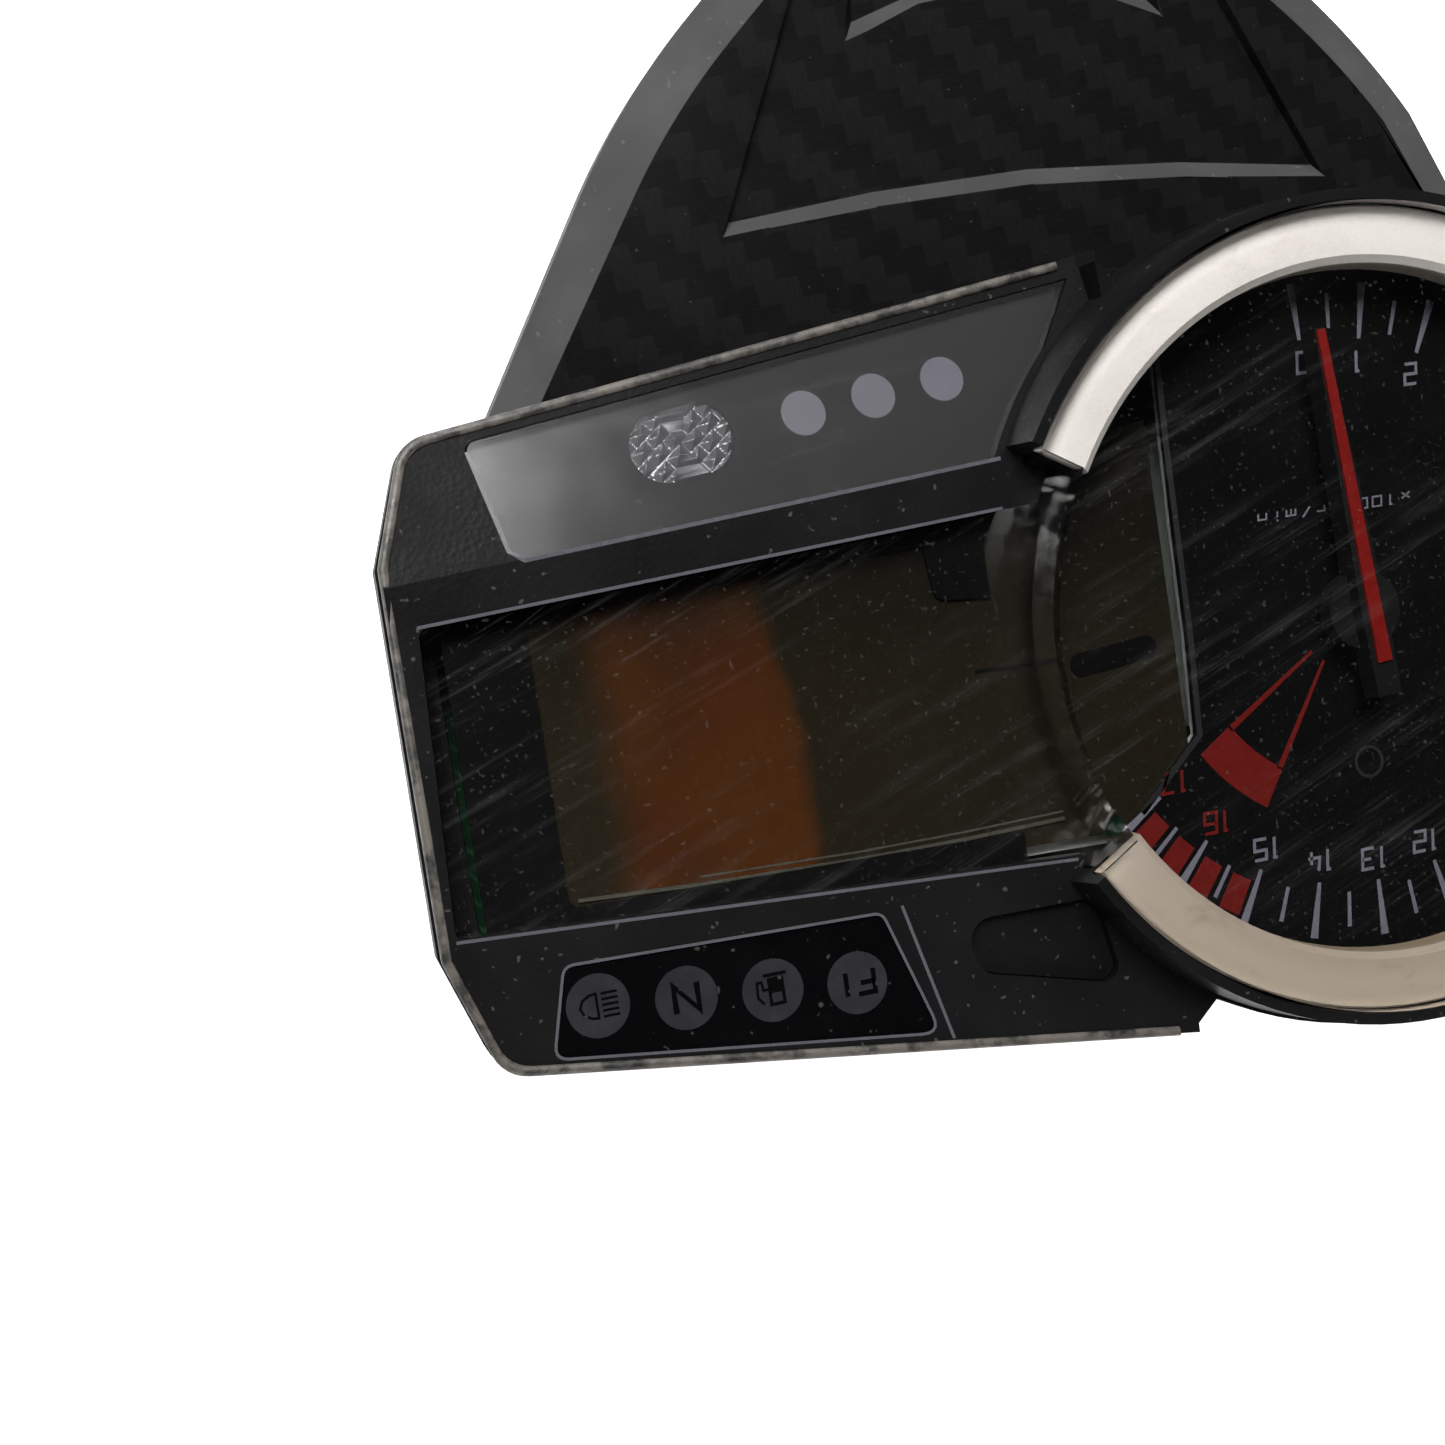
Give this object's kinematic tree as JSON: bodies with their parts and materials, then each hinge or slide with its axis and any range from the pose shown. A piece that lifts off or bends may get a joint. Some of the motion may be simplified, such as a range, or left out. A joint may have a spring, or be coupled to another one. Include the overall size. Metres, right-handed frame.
{
  "type": "motorcycle instrument cluster",
  "caption": "Instrument cluster with a round tachometer, a tapering display wing, warning-lamp strips and a carbon-look trim panel below.",
  "frame": {"origin": "where the pointer's axis meets the plane of the case's back", "axes": "+Z out of the dial towards the rider, +X to the rider's right along the display wing, +Y up the face"},
  "size_m": [0.1943, 0.159, 0.0405],
  "materials": {
    "case_black": "fine spark texture",
    "bezel_black": "fine leather texture with worn edges",
    "seal_rubber": "matte",
    "zinc_steel": "zinc plated",
    "brass": "turned",
    "clear_lens": "clear polycarbonate, scratched",
    "smoke_lens": "smoked polycarbonate, glossy",
    "ring_silver": "satin champagne silver, dusty",
    "print_black": "printed satin black",
    "diffuser_white": "translucent white",
    "chrome_facet": "faceted, vacuum metallised",
    "icon_gloss": "gloss black print",
    "icon_lilac": "translucent lilac grey",
    "pocket_grain": "coarse grain",
    "dial_black": "printed satin black",
    "light_guide": "clear acrylic",
    "lcd_olive": "unlit reflective liquid crystal, with an amber stain",
    "white_plastic": "moulded",
    "board_green": "solder resist",
    "led_yellow": "phosphor",
    "chip_black": "moulded epoxy",
    "can_aluminium": "sleeved can",
    "elastomer": "striped elastomer",
    "magnet_grey": "sintered",
    "steel_core": "punched",
    "copper": "enamelled copper wire",
    "gear_white": "acetal",
    "pointer_black": "satin",
    "pointer_red": "fluorescent red",
    "button_black": "soft touch",
    "carbon_panel": "carbon weave print under clear coat",
    "print_white": "screen-printed lilac white",
    "print_red": "screen-printed red",
    "print_grey": "screen-printed grey",
    "panel_grey": "satin grey moulding"
  },
  "bodies": {
    "cluster": {"rear_case": "case_black", "case_gasket": "seal_rubber", "case_screws": "zinc_steel", "mount_inserts": "brass", "vent_plug": "seal_rubber", "front_bezel": "bezel_black", "front_lens": "clear_lens", "ring_trim": "ring_silver", "strip_lens": "smoke_lens", "strip_mask": "print_black", "strip_diffusers": "diffuser_white", "shift_reflector": "chrome_facet", "icon_panel": "icon_gloss", "icon_lenses": "icon_lilac", "pocket_insert": "pocket_grain", "dial_face": "dial_black", "dial_light_guide": "light_guide", "dial_posts": "zinc_steel", "lcd_glass": "lcd_olive", "lcd_mask": "print_black", "lcd_holder": "white_plastic", "lcd_backlight": "white_plastic", "zebra_strip": "elastomer", "main_board": "board_green", "board_screws": "zinc_steel", "backlight_leds": "led_yellow", "indicator_leds": "led_yellow", "processor": "chip_black", "capacitors": "can_aluminium", "regulator": "chip_black", "connector_header": "white_plastic", "connector_pins": "brass", "motor_case": "white_plastic", "motor_cover": "white_plastic", "stator_core": "steel_core", "stator_coils": "copper", "spindle_bushes": "brass", "idler_pin": "zinc_steel", "rotor_pin": "zinc_steel", "switch_bodies": "chip_black", "lower_panel": "carbon_panel", "panel_screws": "zinc_steel"},
    "needle": {"pointer": "pointer_black", "pointer_stripe": "pointer_red", "pointer_hub": "pointer_black", "spindle": "zinc_steel", "output_wheel": "gear_white"},
    "idler": {"idler_wheel": "gear_white"},
    "rotor": {"rotor_magnet": "magnet_grey", "rotor_pinion": "gear_white"},
    "mode_key": {"mode_button": "button_black", "mode_plunger": "white_plastic"},
    "adjust_key": {"adjust_button": "button_black", "adjust_plunger": "white_plastic"}
  },
  "joints": [
    {"name": "needle_sweep", "type": "hinge", "parent": "cluster", "child": "needle", "pos_m": [0, 0, 0.0323], "axis": [0, 0, -1], "range_deg": [0, 239]},
    {"name": "idler_spin", "type": "hinge", "parent": "cluster", "child": "idler", "pos_m": [0, -0.012, 0.017], "axis": [0, 0, -1], "range_deg": [-1195, 0]},
    {"name": "rotor_spin", "type": "hinge", "parent": "cluster", "child": "rotor", "pos_m": [-0.008, -0.018, 0.0185], "axis": [0, 0, -1], "range_deg": [0, 4780]},
    {"name": "mode_press", "type": "slide", "parent": "cluster", "child": "mode_key", "axis": [0, 0, -1], "range_m": [0, 0.0012], "stiffness_N_per_m": 800, "springref_m": -0.001},
    {"name": "adjust_press", "type": "slide", "parent": "cluster", "child": "adjust_key", "axis": [0, 0, -1], "range_m": [0, 0.0012], "stiffness_N_per_m": 800, "springref_m": -0.001}
  ],
  "couplings": [
    {"joint": "idler_spin", "follows": "needle_sweep", "ratio": -5},
    {"joint": "rotor_spin", "follows": "needle_sweep", "ratio": 20}
  ]
}
